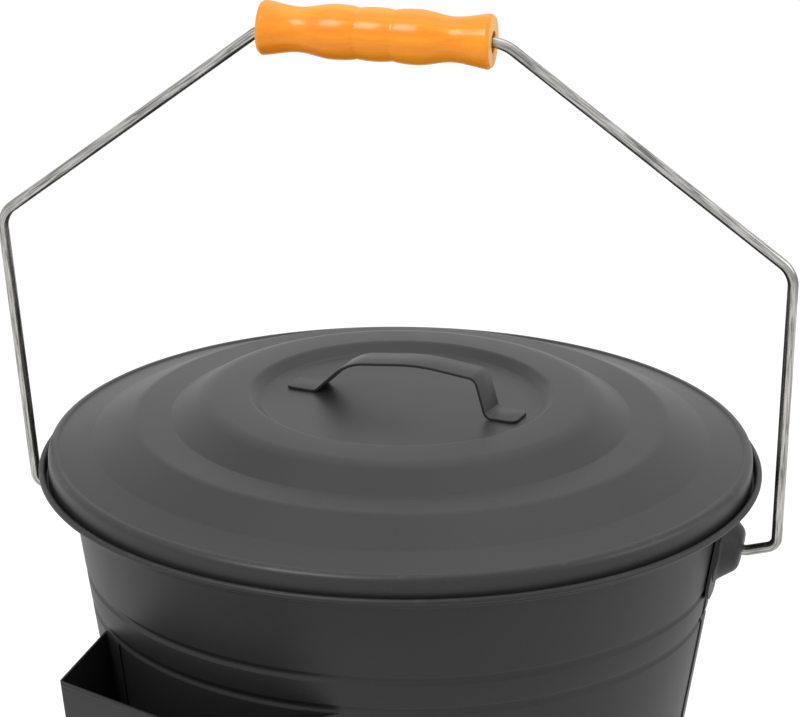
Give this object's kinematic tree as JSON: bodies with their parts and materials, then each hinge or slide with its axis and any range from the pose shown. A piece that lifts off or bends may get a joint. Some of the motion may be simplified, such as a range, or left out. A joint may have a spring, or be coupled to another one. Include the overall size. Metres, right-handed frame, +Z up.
{
  "type": "ash bucket",
  "caption": "Tapered steel ash bucket with a ringed lift-off lid, a swinging wire bail with a turned wooden grip, and a splayed shovel pocket on the front.",
  "frame": {"origin": "centre of the base, on the floor that the bucket stands on", "axes": "+Z up, +X along the bail's pivot axis towards the right ear, -Y to the front, where the shovel pocket is"},
  "size_m": [0.3304, 0.3129, 0.4735],
  "materials": {
    "body_coat": "matt anthracite powder coat",
    "lid_coat": "matt anthracite powder coat",
    "bail_steel": "drawn steel wire, satin",
    "bare_wire": "plain steel wire, hidden in the rim",
    "grip_wood": "lacquered orange-brown hardwood"
  },
  "bodies": {
    "bucket": {"bucket_wall": "body_coat", "rim_wire": "bare_wire", "bottom_plate": "body_coat", "ear_right": "body_coat", "ear_left": "body_coat", "pocket_shell": "body_coat", "pocket_floor": "body_coat"},
    "bail": {"bail_wire": "bail_steel"},
    "grip": {"bail_grip": "grip_wood"},
    "lid": {"lid_shell": "lid_coat", "lid_handle": "lid_coat"}
  },
  "joints": [
    {"name": "bail_swing", "type": "hinge", "parent": "bucket", "child": "bail", "pos_m": [0, 0, 0.2431], "axis": [1, 0, 0], "range_deg": [-156, 128]},
    {"name": "grip_spin", "type": "hinge", "parent": "bail", "child": "grip", "pos_m": [0, -0.03867, 0.46242], "axis": [1, 0, 0], "continuous": true},
    {"name": "lid_lift", "type": "slide", "parent": "bucket", "child": "lid", "axis": [0, 0, 1], "range_m": [0, 0.09]}
  ]
}
